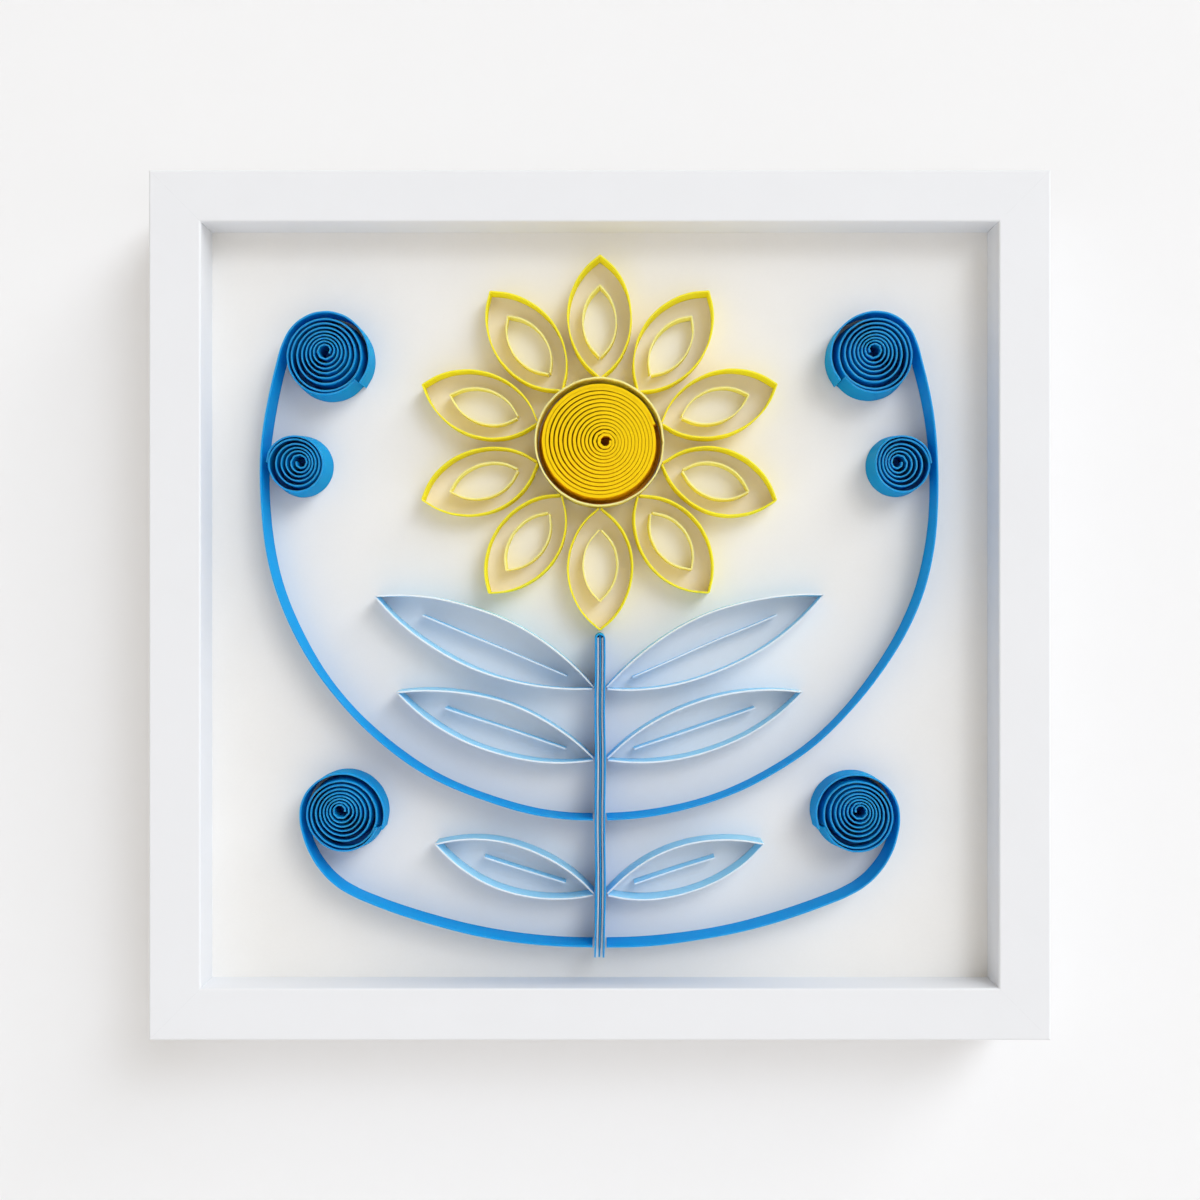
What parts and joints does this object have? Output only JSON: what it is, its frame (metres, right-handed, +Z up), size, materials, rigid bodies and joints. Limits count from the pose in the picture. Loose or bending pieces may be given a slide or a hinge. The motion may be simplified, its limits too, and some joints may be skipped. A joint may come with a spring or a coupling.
{
  "type": "framed quilled paper art",
  "caption": "White box frame with a quilled paper flower, leaves, tendrils and coils standing on edge on a white card, for hanging on a wall or standing on its bottom rail.",
  "frame": {"origin": "under the middle of the bottom rail, at the height of its lower face, and midway between the front of the frame and the hanger", "axes": "+X to the viewer's right along the bottom rail, +Y from the front of the art to the wall, +Z up"},
  "size_m": [0.2498, 0.0324, 0.241],
  "materials": {
    "white_paint": "smooth satin white paint on wood, bare wood in the rabbet",
    "white_card": "matt white mount card",
    "backing_board": "pressed brown hardboard",
    "steel": "bright zinc on steel",
    "deep_blue_paper": "matt dyed paper with lighter cut edges",
    "light_blue_paper": "matt dyed paper with near-white cut edges",
    "deep_yellow_paper": "matt dyed paper",
    "pale_yellow_paper": "matt dyed paper"
  },
  "bodies": {
    "root": {"art_card": "white_card", "backing_board": "backing_board", "corner_v_nails": "steel", "flexi_points": "steel", "flower_core": "deep_yellow_paper", "flower_ring": "pale_yellow_paper", "frame_rail_bottom": "white_paint", "frame_rail_top": "white_paint", "frame_stile_left": "white_paint", "frame_stile_right": "white_paint", "hanger_nails": "steel", "high_coil_left": "deep_blue_paper", "high_coil_right": "deep_blue_paper", "high_leaf_left": "light_blue_paper", "high_leaf_rib_left": "light_blue_paper", "high_leaf_rib_right": "light_blue_paper", "high_leaf_right": "light_blue_paper", "high_tendril_left": "deep_blue_paper", "high_tendril_right": "deep_blue_paper", "inner_petal_01": "pale_yellow_paper", "inner_petal_02": "pale_yellow_paper", "inner_petal_03": "pale_yellow_paper", "inner_petal_04": "pale_yellow_paper", "inner_petal_05": "pale_yellow_paper", "inner_petal_06": "pale_yellow_paper", "inner_petal_07": "pale_yellow_paper", "inner_petal_08": "pale_yellow_paper", "inner_petal_09": "pale_yellow_paper", "inner_petal_10": "pale_yellow_paper", "low_coil_left": "deep_blue_paper", "low_coil_right": "deep_blue_paper", "low_leaf_left": "light_blue_paper", "low_leaf_rib_left": "light_blue_paper", "low_leaf_rib_right": "light_blue_paper", "low_leaf_right": "light_blue_paper", "low_tendril_left": "deep_blue_paper", "low_tendril_right": "deep_blue_paper", "middle_leaf_left": "light_blue_paper", "middle_leaf_rib_left": "light_blue_paper", "middle_leaf_rib_right": "light_blue_paper", "middle_leaf_right": "light_blue_paper", "petal_01": "deep_yellow_paper", "petal_02": "deep_yellow_paper", "petal_03": "deep_yellow_paper", "petal_04": "deep_yellow_paper", "petal_05": "deep_yellow_paper", "petal_06": "deep_yellow_paper", "petal_07": "deep_yellow_paper", "petal_08": "deep_yellow_paper", "petal_09": "deep_yellow_paper", "petal_10": "deep_yellow_paper", "sawtooth_hanger": "steel", "small_coil_left": "deep_blue_paper", "small_coil_right": "deep_blue_paper", "stem": "deep_blue_paper"}
  },
  "joints": []
}
